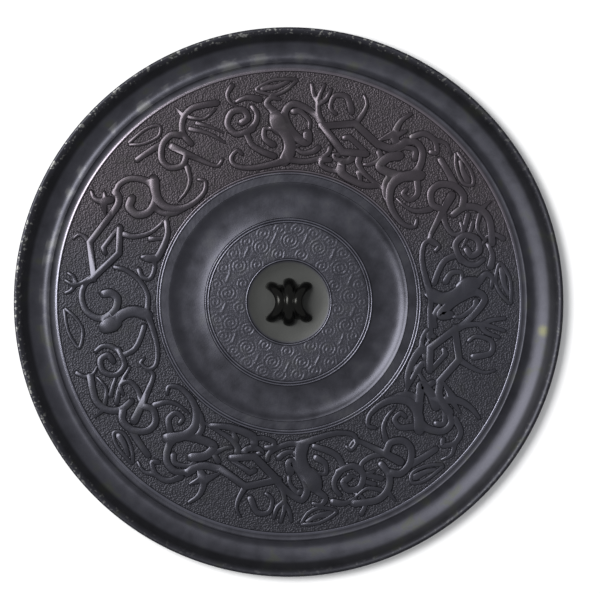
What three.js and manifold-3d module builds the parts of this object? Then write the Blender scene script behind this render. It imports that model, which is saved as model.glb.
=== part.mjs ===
// An ancient bronze mirror, lying on its polished face with the ornamented back up.
// Disc, rim, raised bands and the ridged knob are one bronze casting, so they are one solid.
// The mirror's axis is Z, the origin is the middle of the polished face, and the knob's tunnel runs along X.

import * as THREE from 'three';
import { mergeVertices } from 'three/addons/utils/BufferGeometryUtils.js';
import Module from 'manifold-3d';

// Driving dimensions in millimetres. Rises and depths are counted from the ground between the ornament.
const DISC_DIAMETER = 190;
const GROUND_THICKNESS = 1.9;

// The disc from its edge inwards.
const RIM_WIDTH = 12.1;
const RIM_RISE = 3.7;
const RIM_HOLLOW_RISE = 0.4;
const RIM_INNER_RISE = 1.1;
const LIP_WIDTH = 1.2;
const EDGE_ROUNDING = 0.5;
const BORDER_WIDTH = 2.15;
const BORDER_RISE = 0.5;

// The disc from its middle outwards. The dragon ring takes up what is left between rope ring and border.
const SEAT_RADIUS = 14.7;
const SEAT_SLOPE_WIDTH = 3.7;
const SEAT_DEPTH = 0.4;
const SPIRAL_RING_WIDTH = 12.2;
const CHANNEL_WIDTH = 12.3;
const CHANNEL_DEPTH = 0.6;
const CHANNEL_OUTER_RISE = 0.5;
const CHANNEL_INNER_RISE = 0.1;
const ROPE_RING_WIDTH = 2.6;
const ROPE_RING_RISE = 0.2;

// The thin raised lines between the rings.
const LINE_WIDTH = 0.95;
const LINE_RISE = 0.6;
const LINE_DIP = 0.3;

// The dragons' raised bands. They stand fuller than their drawn widths by a factor.
const DRAGON_RISE = 0.9;
const DRAGON_FLANK = 0.3;
const BAND_FULLNESS = 1.3;

// The knob: three arched ridges side by side over a tunnel.
const TUNNEL_WIDTH = 8;
const TUNNEL_HEIGHT = 5.5;
const KNOB_WALL = 1.8;
const RIDGE_HALF_WIDTH = 1.75;
const RIDGE_HALF_HEIGHT = 1.3;
const RIDGE_SPACING = 2.9;
const FOOT_SPREAD = 3.1;
const FOOT_SWELL = 0.25;
const WALL_SPREAD = 2.9;
const MIDDLE_FOOT_REACH = 2.8;
const SIDE_FOOT_REACH = 1.5;

// How finely round shapes are cut into flats, and how deep a joined piece runs into the one below.
const DISC_SEGMENTS = 52;
const HOLLOW_STEPS = 4;
const BAND_STEP_DEGREES = 64;
const BAND_STEP_LENGTH = 18;
const FINE_POINTS = 12;
const ARCH_STEPS = 8;
const RIDGE_SIDES = 6;
const ROOT_DEPTH = 0.6;

const BRONZE = { color: 0x34353c, roughness: 0.38, metalness: 0.85 };

const discRadius = DISC_DIAMETER / 2;
const seatHeight = GROUND_THICKNESS - SEAT_DEPTH;
const spiralRingInner = SEAT_RADIUS + LINE_WIDTH / 2;
const spiralRingOuter = spiralRingInner + SPIRAL_RING_WIDTH;
const channelInner = spiralRingOuter + 2 * LINE_WIDTH;
const channelOuter = channelInner + CHANNEL_WIDTH;
const ropeRingOuter = channelOuter + ROPE_RING_WIDTH;
const dragonRingInner = ropeRingOuter + 2 * LINE_WIDTH;
const rimInner = discRadius - RIM_WIDTH;
const dragonRingOuter = rimInner - BORDER_WIDTH - LINE_WIDTH;
const dragonRingHeight = dragonRingOuter - dragonRingInner;

// A hollow stretch of the disc's section. It rises from its lowest point to either end by the square of the
// share of the way there.
function hollow(from, to, lowest) {
  const points = [];
  for (let step = 0; step <= HOLLOW_STEPS; step += 1) {
    const radius = THREE.MathUtils.lerp(from[0], to[0], step / HOLLOW_STEPS);
    const end = radius > lowest[0] ? from : to;
    const share = (radius - lowest[0]) / (end[0] - lowest[0]);
    points.push([radius, lowest[1] + (end[1] - lowest[1]) * share ** 2]);
  }
  return points;
}

// A thin raised line's section is its pointed crest.
function lineCrest(radius) {
  return [radius, GROUND_THICKNESS + LINE_RISE];
}

// Two raised lines side by side, from the outer one inwards, with a dip between their crests.
function twinLines(innerRadius) {
  return [
    lineCrest(innerRadius + 1.5 * LINE_WIDTH),
    [innerRadius + LINE_WIDTH, GROUND_THICKNESS + LINE_RISE - LINE_DIP],
    lineCrest(innerRadius + 0.5 * LINE_WIDTH),
  ];
}

// Half of the disc's section, from the middle of the polished face round the edge to the middle of the seat.
function discSection() {
  const ground = GROUND_THICKNESS;
  const rimTop = ground + RIM_RISE;
  return [
    [0, 0],
    [discRadius - EDGE_ROUNDING, 0],
    [discRadius, EDGE_ROUNDING],
    [discRadius, rimTop - EDGE_ROUNDING],
    [discRadius - EDGE_ROUNDING, rimTop],
    ...hollow([discRadius - LIP_WIDTH, rimTop], [rimInner, ground + RIM_INNER_RISE],
      [rimInner + RIM_WIDTH / 6, ground + RIM_HOLLOW_RISE]),
    [rimInner - LINE_WIDTH / 2, ground + BORDER_RISE],
    [rimInner - BORDER_WIDTH, ground + BORDER_RISE],
    lineCrest(dragonRingOuter + LINE_WIDTH / 2),
    [dragonRingOuter, ground],
    [dragonRingInner, ground],
    ...twinLines(ropeRingOuter),
    [ropeRingOuter, ground + ROPE_RING_RISE],
    [channelOuter, ground + ROPE_RING_RISE],
    ...hollow([channelOuter - LINE_WIDTH / 2, ground + CHANNEL_OUTER_RISE],
      [channelInner, ground + CHANNEL_INNER_RISE],
      [channelInner + CHANNEL_WIDTH / 2, ground - CHANNEL_DEPTH]),
    ...twinLines(spiralRingOuter),
    [spiralRingOuter, ground],
    [spiralRingInner, ground],
    lineCrest(SEAT_RADIUS),
    [SEAT_RADIUS - LINE_WIDTH / 2, ground],
    [SEAT_RADIUS - SEAT_SLOPE_WIDTH, seatHeight],
    [0, seatHeight],
  ];
}

function discGeometry() {
  const section = discSection().map(([radius, height]) => new THREE.Vector2(radius, height));
  return new THREE.LatheGeometry(section, DISC_SEGMENTS).rotateX(Math.PI / 2);
}

// A solid skinned over rings of points, all with as many points, its two ends closed by fans.
// Seen from the last ring, looking back at the first, each ring runs clockwise.
function skin(rings) {
  const count = rings[0].length;
  const points = rings.flat();
  const middles = [rings[0], rings.at(-1)].map((ring) => ring
    .reduce((sum, point) => sum.add(point), new THREE.Vector3()).divideScalar(count));
  const index = [];
  const firstMiddle = points.length;
  const lastRing = points.length - count;
  for (let side = 0; side < count; side += 1) {
    const next = (side + 1) % count;
    for (let ring = 0; ring < rings.length - 1; ring += 1) {
      const near = ring * count;
      const far = near + count;
      index.push(near + side, far + next, near + next, near + side, far + side, far + next);
    }
    index.push(firstMiddle, side, next, firstMiddle + 1, lastRing + next, lastRing + side);
  }
  const geometry = new THREE.BufferGeometry().setFromPoints([...points, ...middles]);
  geometry.setIndex(index);
  return geometry;
}

// One dragon is drawn in its own stretch of the ring. A knot is [degrees round the ring from the middle of
// its lozenge, share of the ring's height from the inner line to the outer one]. Widths are shares of the
// ring's height too, at the band's start and at its end.
const bent = (startWidth, endWidth, ...knots) => ({ smooth: false, startWidth, endWidth, knots });
const curved = (startWidth, endWidth, ...knots) => ({ smooth: true, startWidth, endWidth, knots });

const LOZENGE = [
  bent(0.055, 0.06, [8.8, 0.65], [-1.2, 0.77], [-10.5, 0.67]),
  bent(0.06, 0.06, [-8.2, 0.53], [-0.5, 0.45], [8.8, 0.67]),
  bent(0.04, 0.045, [-7.6, 0.55], [-0.9, 0.62], [0.5, 0.59]),
];
const HEAD = [
  curved(0.06, 0.065, [-9.5, 0.68], [-14, 0.655], [-16.2, 0.69], [-16.8, 0.75]),
  curved(0.05, 0.02, [-14.2, 0.75], [-12.7, 0.83], [-12.6, 0.9], [-13.8, 0.96]),
  bent(0.055, 0.015, [-12.9, 0.8], [-10, 0.72]),
];
const HORNS = [
  curved(0.055, 0.02, [-1, 0.76], [-2.3, 0.84], [-2.3, 0.9], [-0.8, 0.94]),
  curved(0.05, 0.03, [8.2, 0.67], [10.2, 0.77], [10.9, 0.85], [9.9, 0.94]),
];
const LEFT_SCROLL = [
  curved(0.045, 0.075, [8.6, 0.67], [11, 0.745], [14.4, 0.765], [18.3, 0.71], [20.5, 0.57], [18.4, 0.43],
    [14.6, 0.395], [12, 0.45], [12, 0.52]),
];
const RIGHT_SCROLL = [
  curved(0.05, 0.075, [-16, 0.72], [-19, 0.755], [-22.4, 0.7], [-24.8, 0.57], [-24.6, 0.45], [-21.8, 0.36],
    [-17.4, 0.345], [-14.5, 0.43], [-15.2, 0.54], [-17.8, 0.565]),
];
const BELLY = [
  curved(0.04, 0.05, [4.2, 0.46], [4.5, 0.33], [7.4, 0.18], [13, 0.085], [20, 0.1]),
  curved(0.1, 0.09, [20.6, 0.1], [18.8, 0.22], [19.6, 0.34], [22.6, 0.47]),
  bent(0.14, 0.13, [22.3, 0.45], [23, 0.52]),
];
const TAIL = [
  curved(0.06, 0.03, [19, 0.1], [27, 0.06], [35, 0.065], [40.6, 0.14], [41, 0.23], [38, 0.28], [36.8, 0.23]),
  curved(0.05, 0.05, [25, 0.14], [29.6, 0.21], [32.6, 0.3], [33.2, 0.42]),
  curved(0.05, 0.055, [31, 0.45], [36.4, 0.44], [38.3, 0.56], [36, 0.67], [32.6, 0.66], [31.8, 0.57],
    [34, 0.54]),
  curved(0.055, 0.04, [32.4, 0.44], [29.6, 0.51], [28.8, 0.6], [29.8, 0.68]),
];
const BODY = [
  curved(0.09, 0.03, [-26.6, 0.5], [-23, 0.37], [-22.2, 0.23], [-25.6, 0.1], [-31, 0.045], [-37, 0.06],
    [-39.8, 0.14], [-38, 0.2]),
  curved(0.05, 0.05, [-19.8, 0.36], [-19.6, 0.23], [-22, 0.13], [-26, 0.08]),
  curved(0.055, 0.025, [-6.9, 0.46], [-7.6, 0.35], [-12, 0.21], [-20.5, 0.15]),
  curved(0.05, 0.02, [-37.5, 0.37], [-35.6, 0.25], [-32, 0.185], [-27, 0.17]),
];
const LEAVES = [
  curved(0.045, 0.07, [-18, 0.14], [-13.5, 0.06], [-7, 0.045], [-2.8, 0.07], [-1.7, 0.17]),
  curved(0.04, 0.045, [-2.4, 0.08], [2, 0.055], [5.8, 0.08], [5.8, 0.16], [3.2, 0.21]),
];
const SECOND_HEAD = [
  curved(0.06, 0.055, [-41.8, 0.67], [-39.4, 0.735], [-35.8, 0.71], [-32.8, 0.6], [-33, 0.48], [-36.6, 0.415],
    [-39.4, 0.47]),
  curved(0.07, 0.03, [-37.6, 0.63], [-41.6, 0.4], [-46.4, 0.22], [-49.6, 0.25]),
  curved(0.05, 0.045, [-42.8, 0.55], [-42.4, 0.69], [-44.6, 0.81], [-48.5, 0.86], [-54.5, 0.81]),
];
const DRAGON = [
  ...LOZENGE, ...HEAD, ...HORNS, ...LEFT_SCROLL, ...RIGHT_SCROLL, ...BELLY, ...TAIL, ...BODY, ...LEAVES,
  ...SECOND_HEAD,
];

// The four dragons were cut one by one, so their lozenges don't stand at even steps. Each lozenge is moved
// round the ring by the given degrees and lower in it by the given share of its height.
const DRAGONS = [
  { middle: 164.5, lozengeShift: 0, lozengeDrop: 0 },
  { middle: 255, lozengeShift: 3, lozengeDrop: 0.19 },
  { middle: 342.5, lozengeShift: 0, lozengeDrop: 0.29 },
  { middle: 70.8, lozengeShift: 0, lozengeDrop: 0.18 },
];
const LOZENGE_REACH_DEGREES = 10;
const SHIFT_FADE_DEGREES = 12;
const LOZENGE_BOTTOM = 0.45;
const LOZENGE_TOP = 0.77;
const UNMOVED_SHARE = 0.1;

// A knot's place on the disc. What stands beside the lozenge moves with it. The move fades out to the sides,
// and the drop also to the ring's inner and outer line.
function placeKnot([degrees, share], dragon) {
  const aside = THREE.MathUtils.smoothstep(Math.abs(degrees), LOZENGE_REACH_DEGREES,
    LOZENGE_REACH_DEGREES + SHIFT_FADE_DEGREES);
  const below = (share - UNMOVED_SHARE) / (LOZENGE_BOTTOM - UNMOVED_SHARE);
  const above = (1 - share) / (1 - LOZENGE_TOP);
  const level = THREE.MathUtils.clamp(Math.min(below, above), 0, 1);
  const dropped = share - dragon.lozengeDrop * (1 - aside) * level;
  const radius = dragonRingInner + dropped * dragonRingHeight;
  const turn = THREE.MathUtils.degToRad(dragon.middle + degrees + dragon.lozengeShift * (1 - aside));
  return new THREE.Vector2(radius * Math.cos(turn), radius * Math.sin(turn));
}

// How many steps a line is worth up to each of its points: one for each full turn step, whichever way it
// bends, and one for each full length step.
function stepsAlong(line) {
  const stretches = line.slice(1).map((point, place) => point.clone().sub(line[place]));
  let steps = 0;
  return line.map((point, place) => {
    if (place > 0) {
      steps += stretches[place - 1].length() / BAND_STEP_LENGTH;
    }
    if (place > 1) {
      const turn = stretches[place - 2].angleTo(stretches[place - 1]);
      steps += THREE.MathUtils.radToDeg(turn) / BAND_STEP_DEGREES;
    }
    return steps;
  });
}

// The middle line of a band: its knots themselves, or points of a smooth curve through them, closest where
// it bends most.
function bandLine(band, dragon) {
  const knots = band.knots.map((knot) => placeKnot(knot, dragon));
  if (!band.smooth) {
    return knots;
  }
  const fine = new THREE.SplineCurve(knots).getPoints(FINE_POINTS * (knots.length - 1));
  const passed = stepsAlong(fine);
  const count = Math.max(2, Math.round(passed.at(-1)));
  const line = [];
  for (let step = 0; step < count; step += 1) {
    line.push(fine[passed.findIndex((steps) => steps >= (passed.at(-1) * step) / count)]);
  }
  return [...line, fine.at(-1)];
}

// A band rises from the ground with sloping flanks to a flat top, mitred where it bends.
function bandGeometry(band, dragon) {
  const line = bandLine(band, dragon);
  const top = GROUND_THICKNESS + DRAGON_RISE;
  const root = GROUND_THICKNESS - ROOT_DEPTH;
  const last = line.length - 1;
  const stretches = line.slice(1).map((point, place) => point.clone().sub(line[place]).normalize());
  const rings = line.map((point, place) => {
    const before = stretches[Math.max(place - 1, 0)];
    const after = stretches[Math.min(place, last - 1)];
    const along = before.clone().add(after).normalize();
    const drawnWidth = THREE.MathUtils.lerp(band.startWidth, band.endWidth, place / last) * dragonRingHeight;
    const width = drawnWidth * BAND_FULLNESS;
    const mitre = 1 / along.dot(before);
    const foot = (width / 2) * mitre;
    const shoulder = Math.max(width / 2 - DRAGON_FLANK, width / 6) * mitre;
    const corner = (offset, height) => new THREE.Vector3(
      point.x - along.y * offset, point.y + along.x * offset, height);
    return [corner(-shoulder, top), corner(shoulder, top), corner(foot, root), corner(-foot, root)];
  });
  return skin(rings);
}

// A point at a share of the way along an arch over the tunnel, from foot to foot along Y: half an ellipse
// whose ends run into the seat.
function archPoint(share, halfWidth, height) {
  const turn = Math.PI * share;
  const root = seatHeight - ROOT_DEPTH;
  return { y: -halfWidth * Math.cos(turn), z: root + (height + ROOT_DEPTH) * Math.sin(turn) };
}

// How far a ridge or the wall under it has spread towards its feet, from 0 at the crown to 1 at the seat.
// Seen from above, its side is a parabola.
function footSpread(share) {
  return Math.cos(Math.PI * share) ** 2;
}

// One ridge of the knob, an arched bar with an oval section that has a crest on top and swells to its feet.
function ridgeGeometry(side) {
  const reach = side === 0 ? MIDDLE_FOOT_REACH : SIDE_FOOT_REACH;
  const rings = [];
  for (let step = 0; step <= ARCH_STEPS; step += 1) {
    const share = step / ARCH_STEPS;
    const spread = footSpread(share);
    const swell = 1 + FOOT_SWELL * spread;
    const middle = archPoint(share, TUNNEL_WIDTH / 2 + reach, TUNNEL_HEIGHT + RIDGE_HALF_HEIGHT);
    const x = side * (RIDGE_SPACING + FOOT_SPREAD * spread);
    const ring = [];
    for (let corner = 0; corner < RIDGE_SIDES; corner += 1) {
      const turn = Math.PI * (0.5 + (2 * corner) / RIDGE_SIDES);
      const across = RIDGE_HALF_WIDTH * swell * Math.cos(turn);
      const out = RIDGE_HALF_HEIGHT * swell * Math.sin(turn);
      const outY = -Math.cos(Math.PI * share) * out;
      const outZ = Math.sin(Math.PI * share) * out;
      ring.push(new THREE.Vector3(x + across, middle.y + outY, middle.z + outZ));
    }
    rings.push(ring);
  }
  return skin(rings);
}

// The plain arched wall that joins the ridges and roofs the tunnel.
function knobWallGeometry() {
  const rings = [];
  for (let step = 0; step <= ARCH_STEPS; step += 1) {
    const share = step / ARCH_STEPS;
    const half = RIDGE_SPACING + WALL_SPREAD * footSpread(share);
    const inside = archPoint(share, TUNNEL_WIDTH / 2, TUNNEL_HEIGHT);
    const outside = archPoint(share, TUNNEL_WIDTH / 2 + KNOB_WALL, TUNNEL_HEIGHT + KNOB_WALL);
    rings.push([
      new THREE.Vector3(-half, inside.y, inside.z), new THREE.Vector3(half, inside.y, inside.z),
      new THREE.Vector3(half, outside.y, outside.z), new THREE.Vector3(-half, outside.y, outside.z),
    ]);
  }
  return skin(rings);
}

// Joining: closed meshes become solids, are added together, and come back as one mesh.
const wasm = await Module();
wasm.setup();

function toSolid(geometry) {
  geometry.deleteAttribute('normal');
  geometry.deleteAttribute('uv');
  const merged = mergeVertices(geometry, 1e-5);
  return new wasm.Manifold(new wasm.Mesh({
    numProp: 3,
    vertProperties: merged.attributes.position.array,
    triVerts: Uint32Array.from(merged.index.array),
  }));
}

function toGeometry(solid) {
  const mesh = solid.getMesh();
  const geometry = new THREE.BufferGeometry();
  geometry.setAttribute('position', new THREE.BufferAttribute(mesh.vertProperties, 3));
  geometry.setIndex(new THREE.BufferAttribute(mesh.triVerts, 1));
  geometry.computeVertexNormals();
  return geometry;
}

function mirrorGeometry() {
  const pieces = [
    ...DRAGONS.flatMap((dragon) => DRAGON.map((band) => bandGeometry(band, dragon))),
    ...[-1, 0, 1].map(ridgeGeometry),
    knobWallGeometry(),
  ];
  const casting = pieces.reduce((whole, piece) => whole.add(toSolid(piece)), toSolid(discGeometry()));
  return toGeometry(casting);
}

const mirror = new THREE.Mesh(mirrorGeometry(), new THREE.MeshStandardMaterial(BRONZE));
mirror.name = 'mirror';

const model = new THREE.Group();
model.add(mirror);

export default model;
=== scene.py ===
import bpy
import numpy as np
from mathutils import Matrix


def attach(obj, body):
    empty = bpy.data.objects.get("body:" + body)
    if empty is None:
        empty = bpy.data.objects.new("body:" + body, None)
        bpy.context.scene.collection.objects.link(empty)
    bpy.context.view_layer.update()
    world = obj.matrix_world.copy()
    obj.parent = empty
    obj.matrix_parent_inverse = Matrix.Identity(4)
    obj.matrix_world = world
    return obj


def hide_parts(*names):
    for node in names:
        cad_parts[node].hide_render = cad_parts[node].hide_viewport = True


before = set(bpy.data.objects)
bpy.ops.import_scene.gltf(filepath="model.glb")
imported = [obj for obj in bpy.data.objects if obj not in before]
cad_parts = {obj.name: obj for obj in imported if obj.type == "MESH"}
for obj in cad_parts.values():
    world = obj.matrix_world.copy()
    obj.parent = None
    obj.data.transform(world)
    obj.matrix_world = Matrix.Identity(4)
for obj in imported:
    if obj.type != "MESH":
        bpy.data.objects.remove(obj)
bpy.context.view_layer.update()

# The disc of the mirror: a flat polished face below, and on the back a bare rim that curls up to a thin lip,
# a hollow channel, and rings of ground pattern between thin raised lines. Cast in high-tin bronze.
# Sizes are in millimetres, as in the solid, and turn to metres when a mesh is made.
DISC_RADIUS = 95.0
GROUND = 1.9
LINE_WIDTH = 0.95
LINE_RISE = 0.6
LINE_DIP = 0.3
RIM_WIDTH = 12.1
RIM_TOP = GROUND + 3.7
RIM_LOW_HEIGHT = GROUND + 0.4
RIM_INNER_HEIGHT = GROUND + 1.1
RIM_CURL = 1.7
LIP_WIDTH = 1.2
EDGE_ROUNDING = 0.5
BORDER_WIDTH = 2.15
BORDER_HEIGHT = GROUND + 0.5
ROPE_RING_WIDTH = 2.6
ROPE_RING_FLOOR = GROUND + 0.2
CHANNEL_WIDTH = 12.3
CHANNEL_INNER_HEIGHT = GROUND - 0.3
CHANNEL_LOW_HEIGHT = GROUND - 0.6
CHANNEL_OUTER_HEIGHT = GROUND + 0.5
CHANNEL_CURL = 3
SPIRAL_RING_WIDTH = 12.2
SEAT_LINE = 14.7
SEAT_FLAT_RADIUS = 9.0
SEAT_HEIGHT = GROUND - 0.4

# The radii that follow from them, from the middle outwards and then from the edge inwards.
SPIRAL_RING_INNER = SEAT_LINE + LINE_WIDTH / 2
SPIRAL_RING_OUTER = SPIRAL_RING_INNER + SPIRAL_RING_WIDTH
CHANNEL_INNER = SPIRAL_RING_OUTER + 2 * LINE_WIDTH
ROPE_RING_INNER = CHANNEL_INNER + CHANNEL_WIDTH
ROPE_RING_OUTER = ROPE_RING_INNER + ROPE_RING_WIDTH
DRAGON_RING_INNER = ROPE_RING_OUTER + 2 * LINE_WIDTH
LIP_INNER = DISC_RADIUS - LIP_WIDTH
RIM_INNER = DISC_RADIUS - RIM_WIDTH
RIM_LOWEST = RIM_INNER + RIM_WIDTH / 6
DRAGON_RING_OUTER = RIM_INNER - BORDER_WIDTH - LINE_WIDTH
DRAGON_RING_HEIGHT = DRAGON_RING_OUTER - DRAGON_RING_INNER

# How many points go round each part of the disc, and how far apart the ground's points are.
SEAT_COLUMNS = 160
SPIRAL_COLUMNS = 440
CHANNEL_COLUMNS = 240
ROPE_COLUMNS = 480
TWIN_LINE_COLUMNS = 440
BORDER_COLUMNS = 440
RIM_COLUMNS = 240
GROUND_CELL = 0.8

grain = np.random.default_rng(12)


def rows(radii, heights, columns, relief=None):
    """Rows of the disc, from the middle outwards: each is (radius, height, columns, relief) of one circle."""
    count = len(radii)
    return list(zip(radii, heights, np.broadcast_to(columns, count), [relief] * count))


def line_rows(inner, widths, levels, columns):
    """Thin raised lines side by side: the height goes from level to level and swells to the crest between
    two levels, by 1 less a power of the share of the way from the middle of the line to its side."""
    across = np.linspace(0, widths, 6 * widths + 1)
    low = np.interp(across, np.arange(widths + 1), levels)
    swell = 1 - np.abs(2 * (across % 1) - 1) ** 2.5
    heights = low + (GROUND + LINE_RISE - low) * swell
    return rows(inner + LINE_WIDTH * across, heights, columns)


def hollow_rows(inner, outer, lowest, curl, columns, steps):
    """A hollow: it rises from its lowest point to either end by a power of the share of the way there."""
    radii = np.linspace(inner[0], outer[0], steps + 1)
    end = np.where((radii > lowest[0])[:, None], outer, inner)
    share = (radii - lowest[0]) / (end[:, 0] - lowest[0])
    return rows(radii, lowest[1] + (end[:, 1] - lowest[1]) * share ** curl, columns)


def waver(x, y, wave):
    """A slow wander from -1 to 1 over the disc: the mean of three sine waves that cross at odd angles."""
    first = np.sin((0.92 * x + 0.39 * y) * 2 * np.pi / wave)
    second = np.sin((-0.33 * x + 0.94 * y) * 2.3 * np.pi / wave + 1.3)
    third = np.sin((0.6 * x - 0.8 * y) * 1.7 * np.pi / wave + 4.1)
    return (first + second + third) / 3


def fade(radius, inner, outer, width):
    """1 between two radii, going down to 0 at either of them over a width."""
    return np.clip((outer - radius) / width, 0, 1) * np.clip((radius - inner) / width, 0, 1)


# The grain of the ground between the dragons: its height, how much that varies, and over what length.
GROUND_GRAIN = 0.03
GROUND_GRAIN_SWING = 0.015
GROUND_GRAIN_WAVE = 11


def ground_relief(radius, angle):
    """The grainy ground between the dragons: small knolls and pits of uneven height, deeper in some places
    than in others."""
    x = radius * np.cos(angle)
    y = radius * np.sin(angle)
    depth = GROUND_GRAIN + GROUND_GRAIN_SWING * waver(x, y, GROUND_GRAIN_WAVE)
    return fade(radius, DRAGON_RING_INNER, DRAGON_RING_OUTER, 0.5) * depth * grain.uniform(-1, 1, len(angle))


# The small spirals. A row is its radius, how many spirals it has, the angle of the first one, and how far
# each reaches. The strokes lie between the spirals, each along its slant's direction.
SPIRAL_ROWS = ((21.4, 13, 0.1, 3.6), (17.0, 13, 0.34, 2.7), (25.4, 26, 0.0, 3.0))
SPIRAL_WAVE = 1.2
SPIRAL_RISE = 0.045
SPIRAL_GRAIN = 0.02
STROKE_RADIUS = 22.6
STROKE_COPIES = 13
STROKE_START = 0.34
STROKE_SLANT = (0.4, 0.92)
STROKE_REACH = 2.4
STROKE_WIDTH = 0.26
STROKE_RISE = 0.1


def nearest_copy(angle, radius, copies, start):
    """The middle of the nearest of some copies that stand at even steps round a circle."""
    turn = np.round((angle - start) * copies / (2 * np.pi)) * 2 * np.pi / copies + start
    return radius * np.cos(turn), radius * np.sin(turn)


def spiral_relief(radius, angle):
    """The ring of small spirals: three rows of them, each a wave along its distance from its own middle
    that shifts by one wave in a turn and fades out where the next begins, with slanting strokes between."""
    x = radius * np.cos(angle)
    y = radius * np.sin(angle)
    height = np.zeros_like(radius)
    free = np.ones_like(radius)
    for row_radius, copies, start, reach in SPIRAL_ROWS:
        middle_x, middle_y = nearest_copy(angle, row_radius, copies, start)
        distance = np.hypot(x - middle_x, y - middle_y)
        heading = np.arctan2(y - middle_y, x - middle_x)
        inside = np.clip((reach - distance) / 0.5, 0, 1) * free
        height += inside * SPIRAL_RISE * np.cos(2 * np.pi * distance / SPIRAL_WAVE - heading)
        free -= inside
    middle_x, middle_y = nearest_copy(angle, STROKE_RADIUS, STROKE_COPIES, STROKE_START)
    slant_x, slant_y = STROKE_SLANT
    along = slant_x * (x - middle_x) + slant_y * (y - middle_y)
    across = slant_y * (x - middle_x) - slant_x * (y - middle_y)
    stroke = np.clip(STROKE_REACH - np.abs(along), 0, 1) * np.exp(-(across / STROKE_WIDTH) ** 2)
    speckle = SPIRAL_GRAIN * grain.uniform(-1, 1, len(angle))
    relief = height * (1 - stroke) + STROKE_RISE * stroke + speckle
    return fade(radius, SPIRAL_RING_INNER, SPIRAL_RING_OUTER, 0.4) * relief


# The strokes of the rope ring: how many go round, their height, and how far the wave turns, in radians, for
# each millimetre outwards.
ROPE_STROKES = 120
ROPE_RISE = 0.006
ROPE_SLANT = 2.4


def rope_relief(radius, angle):
    """The rope ring: slanting strokes, a wave round the ring that shifts outwards by about its own length."""
    wave = np.cos(ROPE_STROKES * angle + ROPE_SLANT * radius)
    return fade(radius, ROPE_RING_INNER, ROPE_RING_OUTER, 0.5) * ROPE_RISE * wave


def disc_rows():
    """All circles of the disc, from the middle of the seat out to the edge and back under the disc."""
    seat_radii = np.array((2.0, 6.0, SEAT_FLAT_RADIUS, 11.0, 12.0, 13.0, 13.8))
    slope_width = SEAT_LINE - LINE_WIDTH / 2 - SEAT_FLAT_RADIUS
    rise = np.clip((seat_radii - SEAT_FLAT_RADIUS) / slope_width, 0, 1)
    ground_count = int(DRAGON_RING_HEIGHT / GROUND_CELL)
    ground_radii = np.linspace(DRAGON_RING_INNER, DRAGON_RING_OUTER, ground_count + 1)[1:-1]
    ground_columns = 40 * np.round(2 * np.pi * ground_radii / GROUND_CELL / 40).astype(int)
    spiral_radii = np.linspace(SPIRAL_RING_INNER, SPIRAL_RING_OUTER, 39)[1:-1]
    rope_radii = np.linspace(ROPE_RING_INNER, ROPE_RING_OUTER - 0.2, 5)
    quarter = np.radians((90, 60, 30, 0))
    edge = DISC_RADIUS - EDGE_ROUNDING
    return [
        *rows(seat_radii, SEAT_HEIGHT + (GROUND - SEAT_HEIGHT) * rise ** 2, SEAT_COLUMNS),
        *line_rows(SEAT_LINE - LINE_WIDTH / 2, 1, (GROUND, GROUND), SEAT_COLUMNS),
        *rows(spiral_radii, np.full(len(spiral_radii), GROUND), SPIRAL_COLUMNS, spiral_relief),
        *line_rows(SPIRAL_RING_OUTER, 2, (GROUND, GROUND + LINE_DIP, CHANNEL_INNER_HEIGHT), CHANNEL_COLUMNS),
        *hollow_rows((CHANNEL_INNER, CHANNEL_INNER_HEIGHT), (ROPE_RING_INNER - 0.4, CHANNEL_OUTER_HEIGHT),
                     ((CHANNEL_INNER + ROPE_RING_INNER) / 2, CHANNEL_LOW_HEIGHT), CHANNEL_CURL,
                     CHANNEL_COLUMNS, 14)[1:],
        *rows((ROPE_RING_INNER - 0.15,), (CHANNEL_OUTER_HEIGHT,), ROPE_COLUMNS),
        *rows(rope_radii, np.full(5, ROPE_RING_FLOOR), ROPE_COLUMNS, rope_relief),
        *line_rows(ROPE_RING_OUTER, 2, (ROPE_RING_FLOOR, GROUND + LINE_DIP, GROUND), TWIN_LINE_COLUMNS),
        *rows(ground_radii, np.full(len(ground_radii), GROUND), ground_columns, ground_relief),
        *line_rows(DRAGON_RING_OUTER, 1, (GROUND, BORDER_HEIGHT), BORDER_COLUMNS),
        *rows((RIM_INNER - 0.7, RIM_INNER - 0.35), (BORDER_HEIGHT, BORDER_HEIGHT + 0.1), RIM_COLUMNS),
        *hollow_rows((RIM_INNER, RIM_INNER_HEIGHT), (LIP_INNER, RIM_TOP), (RIM_LOWEST, RIM_LOW_HEIGHT),
                     RIM_CURL, RIM_COLUMNS, 16),
        *rows(edge + EDGE_ROUNDING * np.cos(quarter), RIM_TOP - EDGE_ROUNDING * (1 - np.sin(quarter)),
              RIM_COLUMNS),
        *rows(edge + EDGE_ROUNDING * np.cos(quarter[::-1]), EDGE_ROUNDING * (1 - np.sin(quarter[::-1])),
              RIM_COLUMNS),
    ]


def zip_faces(near, far, near_count, far_count):
    """Triangles between two circles with any numbers of points. Sorted by the angle of its middle, each
    step of one circle takes as its corner the point that the other circle has reached by then."""
    near_step = np.arange(near_count)
    far_step = np.arange(far_count)
    far_reached = np.ceil((near_step + 0.5) * far_count / near_count - 0.5).astype(int)
    near_reached = np.floor((far_step + 0.5) * near_count / far_count - 0.5).astype(int) + 1
    outward = np.stack((near + near_step, far + far_reached % far_count,
                        near + (near_step + 1) % near_count), axis=1)
    inward = np.stack((far + far_step, far + (far_step + 1) % far_count,
                       near + near_reached % near_count), axis=1)
    return np.vstack((outward, inward))


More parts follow.
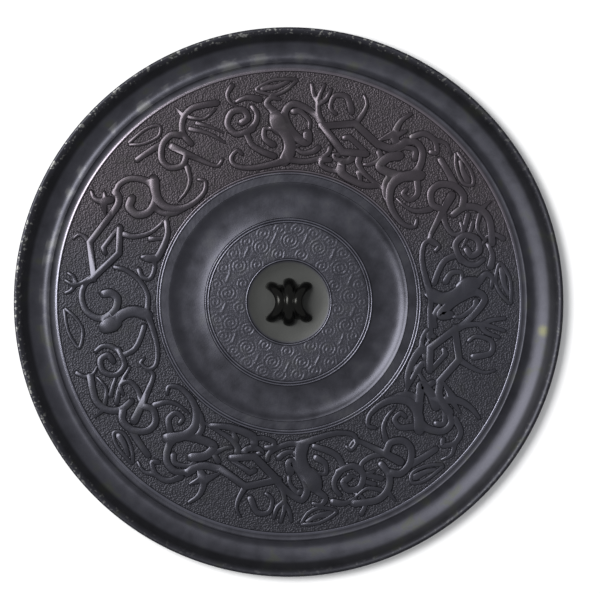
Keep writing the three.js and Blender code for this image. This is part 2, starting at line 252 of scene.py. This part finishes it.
def new_piece(name, points, triangles):
    """A mesh object from points in millimetres and triangles of their numbers."""
    mesh = bpy.data.meshes.new(name)
    mesh.vertices.add(len(points))
    mesh.vertices.foreach_set("co", np.ravel(points) * 0.001)
    mesh.loops.add(3 * len(triangles))
    mesh.loops.foreach_set("vertex_index", np.ravel(triangles).astype(np.int32))
    mesh.polygons.add(len(triangles))
    mesh.polygons.foreach_set("loop_start", np.arange(0, 3 * len(triangles), 3, dtype=np.int32))
    mesh.update(calc_edges=True)
    piece = bpy.data.objects.new(name, mesh)
    bpy.context.scene.collection.objects.link(piece)
    return piece


def disc():
    """The disc as one closed surface: circles of points zipped together, and a fan at either middle."""
    points = [np.array(((0, 0, SEAT_HEIGHT),))]
    triangles = []
    start = 1
    before = None
    for radius, height, columns, relief in disc_rows():
        angle = np.arange(columns) * 2 * np.pi / columns
        raised = height + (relief(np.full(columns, radius), angle) if relief else 0 * angle)
        points.append(np.stack((radius * np.cos(angle), radius * np.sin(angle), raised), axis=1))
        if before is None:
            side = np.arange(columns)
            triangles.append(np.stack((0 * side, start + side, start + (side + 1) % columns), axis=1))
        else:
            triangles.append(zip_faces(before, start, start - before, columns))
        before = start
        start += columns
    side = np.arange(start - before)
    triangles.append(np.stack((before + side, 0 * side + start, before + (side + 1) % len(side)), axis=1))
    points.append(np.array(((0, 0, 0),)))
    return new_piece("mirror_casting", np.vstack(points), np.vstack(triangles))


casting = disc()

# The dragons: four coiled dragons of raised bands with lozenges across their bodies, claws, leaves and
# second heads, cast with the disc. Each band has a flat top, rounded shoulders and rounded ends.
# A knot is degrees round the ring from the middle of a lozenge, and a share of the ring's height.
BAND_RISE = 0.9
BAND_ROOT = 0.35
TURN_STEP = np.radians(21)
LENGTH_STEP = 6.0
FINE_POINTS = 24
END_STEPS = 2
SECTION_ACROSS = np.array((-1, -0.95, -0.8, -0.64, 0.64, 0.8, 0.95, 1))
SECTION_UP = np.array((-1, 0.5, 0.92, 1, 1, 0.92, 0.5, -1))
LOZENGE_REACH = 10
SHIFT_FADE = 12
LOZENGE_BOTTOM = 0.45
LOZENGE_TOP = 0.77
UNMOVED_SHARE = 0.1

# For each dragon: the middle of its stretch, its lozenge's own shift round the ring and drop in it, and how
# much fuller than drawn its bands are.
DRAGONS = ((164.5, 0, 0, 1.35), (255, 3, 0.19, 1.5), (342.5, 0, 0.29, 1.5), (70.8, 0, 0.18, 1.5))


def bent(start_width, end_width, *knots, rise=1.0):
    """A band that runs straight from knot to knot. Its widths at start and end are shares of the ring's
    height, and its rise is a multiple of the usual one."""
    return False, start_width, end_width, rise, np.array(knots)


def curved(start_width, end_width, *knots, rise=1.0):
    """The same, but with a smooth line through the knots."""
    return True, start_width, end_width, rise, np.array(knots)


LOZENGE = (
    bent(0.055, 0.06, (8.8, 0.65), (-1.2, 0.77), (-10.5, 0.67), rise=1.1),
    bent(0.06, 0.06, (-8.2, 0.53), (-0.5, 0.45), (8.8, 0.67), rise=1.14),
    bent(0.04, 0.045, (-7.6, 0.55), (-0.9, 0.62), (0.5, 0.59), rise=0.95),
)
HEAD = (
    curved(0.06, 0.065, (-9.5, 0.68), (-14, 0.655), (-16.2, 0.69), (-16.8, 0.75), rise=1.05),
    curved(0.07, 0.03, (-14.2, 0.75), (-12.7, 0.83), (-12.6, 0.9), (-13.8, 0.96)),
    bent(0.07, 0.02, (-12.9, 0.8), (-10, 0.72)),
    bent(0.06, 0.025, (-13, 0.78), (-15.3, 0.84)),
)
HORNS = (
    curved(0.055, 0.02, (-1, 0.76), (-2.3, 0.84), (-2.3, 0.9), (-0.8, 0.94)),
    curved(0.05, 0.03, (8.2, 0.67), (10.2, 0.77), (10.9, 0.85), (9.9, 0.94)),
    curved(0.045, 0.03, (10.7, 0.83), (8.8, 0.86), (8, 0.92)),
    curved(0.045, 0.03, (10.6, 0.83), (12.4, 0.87), (13.2, 0.93), rise=0.95),
)
LEFT_SCROLL = (
    curved(0.045, 0.075, (8.6, 0.67), (11, 0.745), (14.4, 0.765), (18.3, 0.71), (20.5, 0.57), (18.4, 0.43),
           (14.6, 0.395), (12.6, 0.46), (12.9, 0.53), rise=0.96),
)
RIGHT_SCROLL = (
    curved(0.05, 0.075, (-16, 0.72), (-19, 0.755), (-22.4, 0.7), (-24.8, 0.57), (-24.6, 0.45), (-21.8, 0.36),
           (-17.4, 0.345), (-14.5, 0.43), (-15.2, 0.54), (-17.8, 0.565)),
)
BELLY = (
    curved(0.04, 0.05, (4.2, 0.46), (4.5, 0.33), (7.4, 0.18), (13, 0.085), (20, 0.1), rise=0.92),
    curved(0.1, 0.09, (20.6, 0.1), (18.8, 0.22), (19.6, 0.34), (22.6, 0.47)),
    bent(0.14, 0.13, (22.3, 0.45), (23, 0.52), rise=1.08),
)
TAIL = (
    curved(0.06, 0.03, (19, 0.1), (27, 0.06), (35, 0.065), (40.6, 0.14), (41, 0.23), (38, 0.28),
           (36.8, 0.23)),
    curved(0.05, 0.05, (25, 0.14), (29.6, 0.21), (32.6, 0.3), (33.2, 0.42), rise=0.94),
    curved(0.05, 0.055, (31, 0.45), (36.4, 0.44), (38.3, 0.56), (36, 0.67), (32.6, 0.66), (31.8, 0.57),
           (34, 0.54), rise=1.04),
    curved(0.055, 0.04, (32.4, 0.44), (29.6, 0.51), (28.8, 0.6), (29.8, 0.68)),
)
BODY = (
    curved(0.09, 0.03, (-26.6, 0.5), (-23, 0.37), (-22.2, 0.23), (-25.6, 0.1), (-31, 0.045), (-37, 0.06),
           (-39.8, 0.14), (-38, 0.2), rise=1.05),
    curved(0.05, 0.05, (-19.8, 0.36), (-19.6, 0.23), (-22, 0.13), (-26, 0.08), rise=0.96),
    curved(0.055, 0.025, (-6.9, 0.46), (-7.6, 0.35), (-12, 0.21), (-20.5, 0.15), rise=0.92),
    curved(0.05, 0.02, (-37.5, 0.37), (-35.6, 0.25), (-32, 0.185), (-27, 0.17), rise=0.95),
)
LEAVES = (
    curved(0.045, 0.07, (-18, 0.14), (-13.5, 0.06), (-7, 0.045), (-2.8, 0.07), (-1.7, 0.17)),
    curved(0.04, 0.045, (-2.4, 0.08), (2, 0.055), (5.8, 0.08), (5.8, 0.16), (3.2, 0.21), rise=0.96),
    curved(0.03, 0.05, (-12, 0.06), (-10.3, 0.13), (-9, 0.2), rise=0.9),
    curved(0.07, 0.04, (-2.7, 0.07), (-2.3, 0.14), (-1.4, 0.21)),
    curved(0.03, 0.03, (17.2, 0.93), (20, 0.82), (23.6, 0.77), (27.8, 0.84), (23.2, 0.92), (17.4, 0.94),
           rise=0.8),
    curved(0.03, 0.03, (-29.2, 0.93), (-32, 0.84), (-36.4, 0.8), (-38.2, 0.88), (-35, 0.94), (-29.4, 0.95),
           rise=0.8),
    curved(0.045, 0.02, (34, 0.93), (35.7, 0.86), (35.6, 0.77), (34, 0.71), rise=0.9),
    curved(0.05, 0.06, (-27.6, 0.77), (-31.6, 0.745), (-35.7, 0.72), rise=0.9),
)
SECOND_HEAD = (
    curved(0.06, 0.055, (-41.8, 0.67), (-39.4, 0.735), (-35.8, 0.71), (-32.8, 0.6), (-33, 0.48),
           (-36.6, 0.415), (-39.4, 0.47), rise=1.06),
    curved(0.07, 0.03, (-37.6, 0.63), (-41.6, 0.4), (-46.4, 0.22), (-49.6, 0.25), rise=0.98),
    curved(0.055, 0.06, (-42.8, 0.55), (-42.4, 0.69), (-44.6, 0.81), (-48.5, 0.86), (-54.5, 0.81)),
    curved(0.045, 0.025, (-44.8, 0.68), (-48.9, 0.56), (-52.6, 0.4), rise=0.8),
    curved(0.04, 0.02, (-47.3, 0.7), (-50.3, 0.61), (-53.4, 0.5), rise=0.75),
    curved(0.04, 0.02, (-46.2, 0.79), (-49.6, 0.71), (-53.6, 0.75), rise=0.95),
    bent(0.045, 0.015, (-45, 0.83), (-44.2, 0.95), rise=0.95),
)
DRAGON = (*LOZENGE, *HEAD, *HORNS, *LEFT_SCROLL, *RIGHT_SCROLL, *BELLY, *TAIL, *BODY, *LEAVES, *SECOND_HEAD)

# Curls that fill the gaps between the bands. The first dragon is the plainest one and has none.
CURLS = (
    curved(0.03, 0.055, (19.4, 0.905), (22.6, 0.85), (26, 0.85), rise=0.65),
    curved(0.03, 0.055, (-31.4, 0.915), (-34, 0.87), (-36.6, 0.855), rise=0.65),
    curved(0.05, 0.04, (-17.6, 0.8), (-19.6, 0.865), (-22.8, 0.87), (-25.4, 0.8), (-24.2, 0.755), rise=0.85),
    curved(0.045, 0.02, (-22.6, 0.87), (-25.6, 0.925), (-28.4, 0.89), rise=0.8),
    curved(0.055, 0.03, (1, 0.83), (3.4, 0.9), (6.6, 0.89), (7.2, 0.82), (5.2, 0.79), rise=0.85),
    curved(0.05, 0.03, (17.8, 0.64), (15.8, 0.69), (12.8, 0.67), (12.4, 0.6), rise=0.8),
    curved(0.05, 0.03, (-22, 0.6), (-20.4, 0.67), (-17.6, 0.67), (-16.6, 0.62), rise=0.8),
    curved(0.055, 0.035, (-4.6, 0.4), (-3.2, 0.3), (0.4, 0.26), (2, 0.33), (0.4, 0.37), rise=0.85),
    curved(0.055, 0.035, (-27.6, 0.44), (-30.8, 0.36), (-30.6, 0.26), (-27.4, 0.25), (-27, 0.31), rise=0.85),
    curved(0.055, 0.03, (25, 0.26), (27.6, 0.33), (27.2, 0.43), (24.8, 0.42), rise=0.85),
    curved(0.05, 0.03, (8.4, 0.4), (10.2, 0.3), (14, 0.22), (16.8, 0.26), (15.4, 0.31), rise=0.85),
    curved(0.05, 0.03, (-40.8, 0.47), (-44.6, 0.43), (-48.4, 0.46), (-48.8, 0.56), (-46, 0.58), rise=0.85),
    curved(0.05, 0.03, (-11.8, 0.6), (-13.4, 0.52), (-11.4, 0.45), (-9.6, 0.4), rise=0.85),
    curved(0.06, 0.03, (27.6, 0.74), (30.6, 0.78), (33.8, 0.76), rise=0.85),
    curved(0.06, 0.03, (23.6, 0.6), (25.6, 0.68), (24.2, 0.74), (21.8, 0.72), rise=0.85),
)


def place_knots(knots, middle, shift, drop):
    """Knots on the disc. What stands beside the lozenge moves with it. The move fades out to the sides by a
    smooth step, and the drop also evenly towards the ring's inner and outer line."""
    degrees, share = knots.T
    aside = np.clip((np.abs(degrees) - LOZENGE_REACH) / SHIFT_FADE, 0, 1)
    moved = 1 - aside ** 2 * (3 - 2 * aside)
    below = (share - UNMOVED_SHARE) / (LOZENGE_BOTTOM - UNMOVED_SHARE)
    level = np.clip(np.minimum(below, (1 - share) / (1 - LOZENGE_TOP)), 0, 1)
    radius = DRAGON_RING_INNER + (share - drop * moved * level) * DRAGON_RING_HEIGHT
    turn = np.radians(middle + degrees + shift * moved)
    return np.stack((radius * np.cos(turn), radius * np.sin(turn)), axis=1)


def smooth_line(knots):
    """A smooth line through the knots: a cubic on each stretch, whose slope at a knot is half the step from
    the knot before to the knot after. Its points are closest where it bends most."""
    padded = np.vstack((knots[:1], knots, knots[-1:]))
    slopes = (padded[2:] - padded[:-2]) / 2
    share = np.linspace(0, 1, FINE_POINTS, endpoint=False)[None, :, None]
    here = knots[:-1, None]
    there = knots[1:, None]
    leave = slopes[:-1, None]
    arrive = slopes[1:, None]
    cubic = (2 * here - 2 * there + leave + arrive) * share ** 3
    square = (3 * there - 3 * here - 2 * leave - arrive) * share ** 2
    fine = np.vstack(((cubic + square + leave * share + here).reshape(-1, 2), knots[-1:]))
    stretches = np.diff(fine, axis=0)
    heading = np.unwrap(np.arctan2(stretches[:, 1], stretches[:, 0]))
    turns = np.abs(np.diff(heading, prepend=heading[:1]))
    worth = np.hypot(*stretches.T) / LENGTH_STEP + turns / TURN_STEP
    passed = np.concatenate(((0,), np.cumsum(worth)))
    even = np.linspace(0, passed[-1], max(3, int(np.ceil(passed[-1]))) + 1)
    return np.stack([np.interp(even, passed, values) for values in fine.T], axis=1)


def skin(name, grid):
    """A closed surface over rings of points, seen clockwise from the last one, with a fan at each end."""
    rings, count = grid.shape[:2]
    ring, side = np.meshgrid(np.arange(rings - 1), np.arange(count), indexing="ij")
    near = (ring * count + side).ravel()
    near_next = (ring * count + (side + 1) % count).ravel()
    first = rings * count
    start = np.arange(count)
    start_next = (start + 1) % count
    last = (rings - 1) * count
    triangles = np.vstack((
        np.stack((near, near_next + count, near_next), axis=1),
        np.stack((near, near + count, near_next + count), axis=1),
        np.stack((0 * start + first, start, start_next), axis=1),
        np.stack((0 * start + first + 1, last + start_next, last + start), axis=1),
    ))
    points = np.vstack((grid.reshape(-1, 3), grid[0].mean(axis=0), grid[-1].mean(axis=0)))
    return new_piece(name, points, triangles)


def band(smooth, start_width, end_width, rise, knots, middle, shift, drop, fullness):
    """One band: its section, carried along its middle line and mitred at each point, with the width going
    evenly from start to end, and closed by a quarter of a circle at either end."""
    line = place_knots(knots, middle, shift, drop)
    if smooth:
        line = smooth_line(line)
    stretches = np.diff(line, axis=0)
    lengths = np.hypot(*stretches.T)
    headings = stretches / lengths[:, None]
    before = np.vstack((headings[:1], headings))
    along = before + np.vstack((headings, headings[-1:]))
    along /= np.hypot(*along.T)[:, None]
    mitre = 1 / np.sum(along * before, axis=1)
    passed = np.concatenate(((0,), np.cumsum(lengths))) / lengths.sum()
    half = (start_width + (end_width - start_width) * passed) * fullness * DRAGON_RING_HEIGHT / 2
    quarter = np.linspace(0, np.pi / 2, END_STEPS + 1)[1:]
    ahead = np.sin(quarter)[:, None]
    narrow = np.maximum(np.cos(quarter), 0.25)
    start_round = line[0] - along[0] * half[0] * ahead[::-1]
    end_round = line[-1] + along[-1] * half[-1] * ahead
    middles = np.vstack((start_round, line, end_round))
    facing = np.vstack((np.tile(along[0], (END_STEPS, 1)), along, np.tile(along[-1], (END_STEPS, 1))))
    halves = np.concatenate((half[0] * narrow[::-1], half * mitre, half[-1] * narrow))
    heights = np.concatenate((narrow[::-1] ** 0.5, np.ones(len(line)), narrow ** 0.5)) * rise * BAND_RISE
    offset = SECTION_ACROSS[None, :] * halves[:, None]
    x = middles[:, :1] - facing[:, 1:] * offset
    y = middles[:, 1:] + facing[:, :1] * offset
    z = GROUND + np.where(SECTION_UP > 0, SECTION_UP * heights[:, None], -BAND_ROOT)
    return skin("band", np.stack((x, y, z), axis=2))


raised = [band(*stroke, *dragon) for dragon in DRAGONS for stroke in DRAGON]
raised += [band(*stroke, *dragon) for dragon in DRAGONS[1:] for stroke in CURLS]

# The knob: three arched ridges side by side over a tunnel for the cord, waisted at the crown, with feet that
# spread on the seat. Cast with the disc and worn smooth.
TUNNEL_HALF_WIDTH = 4.0
TUNNEL_HEIGHT = 5.5
KNOB_WALL = 2.1
RIDGE_HALF_WIDTH = 1.75
RIDGE_HALF_HEIGHT = 1.3
RIDGE_SPACING = 2.9
FOOT_SPREAD = 3.1
FOOT_SWELL = 0.25
WALL_SPREAD = 2.9
FOOT_REACH = {-1: 1.5, 0: 2.8, 1: 1.5}
KNOB_ROOT = 0.6
ARCH_STEPS = 26
RIDGE_SIDES = 16
arch_share = np.linspace(0, 1, ARCH_STEPS + 1)[:, None]
arch_spread = np.cos(np.pi * arch_share) ** 2


def arch(half_width, height):
    """Half an ellipse over the tunnel, from foot to foot along Y, whose ends run into the seat."""
    rise = (height + KNOB_ROOT) * np.sin(np.pi * arch_share)
    return -half_width * np.cos(np.pi * arch_share), SEAT_HEIGHT - KNOB_ROOT + rise


def ridge(side):
    """One ridge: an oval carried along the arch, turned with it, swelling towards the feet."""
    swell = 1 + FOOT_SWELL * arch_spread
    middle_y, middle_z = arch(TUNNEL_HALF_WIDTH + FOOT_REACH[side], TUNNEL_HEIGHT + RIDGE_HALF_HEIGHT)
    turn = np.pi / 2 + np.arange(RIDGE_SIDES)[None, :] * 2 * np.pi / RIDGE_SIDES
    out = RIDGE_HALF_HEIGHT * swell * np.sin(turn)
    x = side * (RIDGE_SPACING + FOOT_SPREAD * arch_spread) + RIDGE_HALF_WIDTH * swell * np.cos(turn)
    y = middle_y - np.cos(np.pi * arch_share) * out
    z = middle_z + np.sin(np.pi * arch_share) * out
    return skin("ridge", np.stack((x, y, z), axis=2))


def knob_wall():
    """The wall that joins the ridges and roofs the tunnel: a flat section carried along the arch."""
    half = RIDGE_SPACING + WALL_SPREAD * arch_spread
    inside_y, inside_z = arch(TUNNEL_HALF_WIDTH, TUNNEL_HEIGHT)
    outside_y, outside_z = arch(TUNNEL_HALF_WIDTH + KNOB_WALL, TUNNEL_HEIGHT + KNOB_WALL)
    x = np.hstack((-half, half, half, -half))
    y = np.hstack((inside_y, inside_y, outside_y, outside_y))
    z = np.hstack((inside_z, inside_z, outside_z, outside_z))
    return skin("wall", np.stack((x, y, z), axis=2))


raised += [ridge(-1), ridge(0), ridge(1), knob_wall()]

# The casting: disc, dragons and knob are one piece of bronze, so their surfaces are joined into one.
ornament = bpy.data.collections.new("ornament")
for piece in raised:
    ornament.objects.link(piece)
join = casting.modifiers.new("join", "BOOLEAN")
join.operation = "UNION"
join.operand_type = "COLLECTION"
join.collection = ornament
join.solver = "MANIFOLD"
joined = bpy.data.meshes.new_from_object(casting.evaluated_get(bpy.context.evaluated_depsgraph_get()))
casting.modifiers.clear()
casting.data = joined
for piece in raised:
    bpy.data.objects.remove(piece)
bpy.data.collections.remove(ornament)
joined.polygons.foreach_set("use_smooth", np.ones(len(joined.polygons), dtype=bool))
joined.set_sharp_from_angle(angle=np.radians(50))
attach(casting, "root")
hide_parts("mirror")


class Value:
    """A socket that Python's operators work on. Each operation adds its Math node."""

    def __init__(self, tree, socket=None):
        self.tree = tree
        self.socket = socket

    def node(self, kind, settings, inputs, output=0):
        """Adds any other node: first its settings, then the values or links of its sockets."""
        node = self.tree.nodes.new(kind)
        for name, setting in settings.items():
            setattr(node, name, setting)
        for name, value in inputs.items():
            if isinstance(value, Value):
                self.tree.links.new(node.inputs[name], value.socket)
            else:
                node.inputs[name].default_value = value
        return Value(self.tree, node.outputs[output])

    def math(self, operation, *values):
        return self.node("ShaderNodeMath", {"operation": operation}, dict(enumerate(values)))

    def __add__(self, other):
        return self.math("ADD", self, other)

    def __sub__(self, other):
        return self.math("SUBTRACT", self, other)

    def __mul__(self, other):
        return self.math("MULTIPLY", self, other)

    def __pow__(self, other):
        return self.math("POWER", self, other)

    def __rsub__(self, other):
        return self.math("SUBTRACT", other, self)

    __radd__ = __add__
    __rmul__ = __mul__

    def between(self, low, high):
        """0 below low, 1 above high, and a smooth step between them."""
        return self.node("ShaderNodeMapRange", {"interpolation_type": "SMOOTHSTEP"},
                         {"Value": self, "From Min": low, "From Max": high})

    def mix(self, first, second):
        """The first colour where this is 0 and the second where it is 1."""
        return self.node("ShaderNodeMix", {"data_type": "RGBA"}, {0: self, 6: first, 7: second}, output=2)


# Patinated bronze: a dark blue-grey skin, glossy on the plain parts, with a brownish tinge in the upper
# ornament, olive dirt on the seat and in spots on the rim, and a fine grain.
BLUE_GREY = (0.038, 0.038, 0.047, 1)
BROWN_GREY = (0.05, 0.042, 0.048, 1)
OLIVE_GREY = (0.036, 0.038, 0.032, 1)
SEAT_GREY = (0.046, 0.047, 0.045, 1)
KNOB_BLACK = (0.01, 0.01, 0.009, 1)
LIP_WHITE = (0.25, 0.25, 0.24, 1)
# Pale smears on the inner rim, partly a painted highlight where it faces the lamp.
RIM_SMEAR_AND_HIGHLIGHT = (0.1, 0.1, 0.105, 1)
SPOT_GREEN = (0.075, 0.075, 0.045, 1)
SPOT_X = 88.2
SPOT_Y = -10.0

bronze = bpy.data.materials.new("patinated_bronze")
bronze.use_nodes = True
tree = bronze.node_tree
surface = tree.nodes["Principled BSDF"]
start = Value(tree)
place = start.node("ShaderNodeTexCoord", {}, {}, output="Object")
place = start.node("ShaderNodeVectorMath", {"operation": "SCALE"}, {0: place, "Scale": 1000.0})
x = start.node("ShaderNodeSeparateXYZ", {}, {0: place}, output=0)
y = start.node("ShaderNodeSeparateXYZ", {}, {0: place}, output=1)
z = start.node("ShaderNodeSeparateXYZ", {}, {0: place}, output=2)
radius = (x * x + y * y) ** 0.5


def noise(scale, detail=3.0):
    """A soft noise from 0 to 1 over the place on the mirror. A higher scale makes it finer."""
    return start.node("ShaderNodeTexNoise", {}, {"Vector": place, "Scale": scale, "Detail": detail})


def ring(inner, outer):
    """1 between two radii and 0 elsewhere, with soft sides."""
    return radius.between(inner - 0.2, inner) * (1 - radius.between(outer, outer + 0.2))


# Noises, from broad clouds down to fine granules.
clouds = noise(0.045)
stains = noise(0.16, 5.0)
flecks = noise(0.8, 2.0)
speckle = noise(2.6, 4.0)
granules = start.node("ShaderNodeTexVoronoi", {}, {"Vector": place, "Scale": 1.7})

# The parts of the mirror, found by radius and height: 1 inside them, 0 elsewhere and soft at their sides.
in_ornament = radius.between(44, 46) * (1 - radius.between(80, 82))
in_spirals = radius.between(15, 16) * (1 - radius.between(26.5, 27.5))
on_seat = 1 - radius.between(13.2, 14.4)
bare = 1 - in_ornament - in_spirals - on_seat
on_ground = (in_ornament + 0.3 * in_spirals) * (1 - z.between(2.05, 2.35))
on_knob = (1 - radius.between(9.4, 10.2)) * z.between(1.75, 2.3)
# Painted shade on the rim's steep flank: full from about 90.8 mm out, half as strong at the lip.
painted_flank_shade = radius.between(89.2, 90.8) * (1 - 0.5 * radius.between(92.3, 93.4))
on_lines = ring(14.2, 15.2) + ring(27.4, 29.3) + ring(44.2, 46.1) + ring(79.8, 80.8)
# The crests of the thin lines: lighter in colour as a painted highlight, and glossier.
on_crests = on_lines * z.between(2.25, 2.5)
on_face = 1 - z.between(0.2, 0.5)

# The colours: the bronze's own, then olive dirt, the seat, the knob, pale patches on the upper left of the
# inner rim, partly pale smears and partly a painted highlight where the rim faces the lamp, one greenish
# spot on the rim's right, and pale flecks where the lip is worn.
brown = in_ornament * (y + 14 * clouds).between(10, 50) * 0.8
colour = brown.mix(BLUE_GREY, BROWN_GREY)
spots = stains.between(0.56, 0.7) * (0.25 + 0.75 * radius.between(80, 84)) * 0.8
colour = spots.mix(colour, OLIVE_GREY)
colour = on_seat.mix(colour, SEAT_GREY)
colour = on_knob.mix(colour, KNOB_BLACK)
# Pale patches on the upper left of the inner rim: partly smears, partly painted highlight where the rim faces
# the lamp.
pale = stains.between(0.48, 0.62) * ring(82.6, 86.4) * (y - x).between(60, 110) * 0.5
colour = pale.mix(colour, RIM_SMEAR_AND_HIGHLIGHT)
spot_distance = ((x - SPOT_X) ** 2 + (y - SPOT_Y) ** 2) ** 0.5
colour = (1 - (spot_distance + 3 * speckle).between(1.8, 4.4)).mix(colour, SPOT_GREEN)
to_upper_left = (y - x).between(-60, 90)
lip_flecks = flecks.between(0.57, 0.66) * radius.between(91.8, 93.2) * z.between(4.2, 4.9)
lip_flecks = lip_flecks * (0.15 + 0.85 * to_upper_left)
colour = lip_flecks.mix(colour, LIP_WHITE)

# How light each place is: clouded and smeared, and a little darker to the lower right, away from the lamp,
# as painted shade, except in the ornament, which gets lighter to the right. Darker on the rim's steep flank,
# as painted shade, and on the ground, a little lighter in the spirals, and lighter on the crests of the thin
# lines, as a painted highlight.
smears = 0.3 * (speckle - 0.5) + bare * 1.1 * (stains - 0.5)
to_right = start.math("MAXIMUM", x, 0.0) * in_ornament
# Painted shade: a little darker towards the lower right, away from the lamp. The ornament gets lighter to the
# right.
tone = 0.82 + 0.3 * clouds + smears - 0.0008 * (x - 0.6 * y) + 0.0045 * to_right
# Painted shade darkens the rim's steep flank. The ground is also made darker.
tone = tone * (1 - 0.7 * painted_flank_shade) * (1 - 0.4 * on_ground)
# Painted highlight: the crests of the thin lines are made lighter, and the spirals a little lighter.
tone = tone * (1 + 1.6 * on_crests + 0.3 * in_spirals)
shaded = start.node("ShaderNodeVectorMath", {"operation": "SCALE"}, {0: colour, "Scale": tone})
tree.links.new(surface.inputs["Base Color"], shaded.socket)
surface.inputs["Metallic"].default_value = 0.85

# The gloss, highest on the knob and the polished face, and the fine grain, strongest on the ground.
rough = 0.32 + 0.2 * (stains - 0.5) + in_ornament * (0.07 - 0.13 * z.between(2.1, 2.6)) - 0.2 * on_knob
rough = rough - 0.1 * on_face - 0.06 * on_crests + 0.12 * on_seat + 0.07 * radius.between(80.8, 82)
tree.links.new(surface.inputs["Roughness"], rough.socket)
bump_height = granules * on_ground * 1.1 + speckle * (0.15 + 0.35 * on_ground) + stains * 0.3
bump = start.node("ShaderNodeBump", {}, {"Height": bump_height, "Strength": 1.0, "Distance": 0.0001})
tree.links.new(surface.inputs["Normal"], bump.socket)
casting.data.materials.clear()
casting.data.materials.append(bronze)

# The floor: a plain, matt, pale table top under the mirror, 6 m wide.
floor_mesh = bpy.data.meshes.new("floor")
floor_mesh.from_pydata([(-3, -3, 0), (3, -3, 0), (3, 3, 0), (-3, 3, 0)], [], [(0, 1, 2, 3)])
floor = bpy.data.objects.new("floor", floor_mesh)
bpy.context.scene.collection.objects.link(floor)
paper = bpy.data.materials.new("pale_floor")
paper.use_nodes = True
paper_surface = paper.node_tree.nodes["Principled BSDF"]
paper_surface.inputs["Base Color"].default_value = (0.9, 0.9, 0.9, 1)
paper_surface.inputs["Roughness"].default_value = 0.8
floor_mesh.materials.append(paper)


# The light: one large soft lamp from the upper left, and a dim even sky.
def soft_lamp(name, azimuth, elevation, distance, size, watts):
    """A square lamp at a distance from the mirror, in the direction of an azimuth and elevation."""
    data = bpy.data.lights.new(name, "AREA")
    data.size = size
    data.energy = watts
    lamp = bpy.data.objects.new(name, data)
    turn, lift = np.radians((azimuth, elevation))
    reach = distance * np.cos(lift)
    lamp.location = (reach * np.cos(turn), reach * np.sin(turn), distance * np.sin(lift))
    lamp.rotation_euler = (np.pi / 2 - lift, 0, turn + np.pi / 2)
    bpy.context.scene.collection.objects.link(lamp)


soft_lamp("key_lamp", azimuth=157, elevation=61, distance=1.35, size=0.6, watts=17)

sky = bpy.data.worlds.new("sky")
bpy.context.scene.world = sky
sky.use_nodes = True
sky.node_tree.nodes["Background"].inputs["Color"].default_value = (0.97, 0.98, 1, 1)
sky.node_tree.nodes["Background"].inputs["Strength"].default_value = 0.6
bpy.context.scene.view_settings.view_transform = "Standard"

# The camera looks straight down from far off. The disc's middle lies left of and below the picture's.
PICTURE_WIDTH = 600
PICTURE_HEIGHT = 593
DISC_MIDDLE_ACROSS = 288.6
DISC_MIDDLE_DOWN = 302.0
DISC_RADIUS_PIXELS = 275.0
CAMERA_HEIGHT = 1.2
pixel = DISC_RADIUS / DISC_RADIUS_PIXELS / 1000
camera_data = bpy.data.cameras.new("camera")
camera_data.lens = camera_data.sensor_width * (CAMERA_HEIGHT - RIM_TOP / 1000) / (PICTURE_WIDTH * pixel)
camera = bpy.data.objects.new("camera", camera_data)
camera.location = ((PICTURE_WIDTH / 2 - DISC_MIDDLE_ACROSS) * pixel,
                   (DISC_MIDDLE_DOWN - PICTURE_HEIGHT / 2) * pixel, CAMERA_HEIGHT)
bpy.context.scene.collection.objects.link(camera)
bpy.context.scene.camera = camera
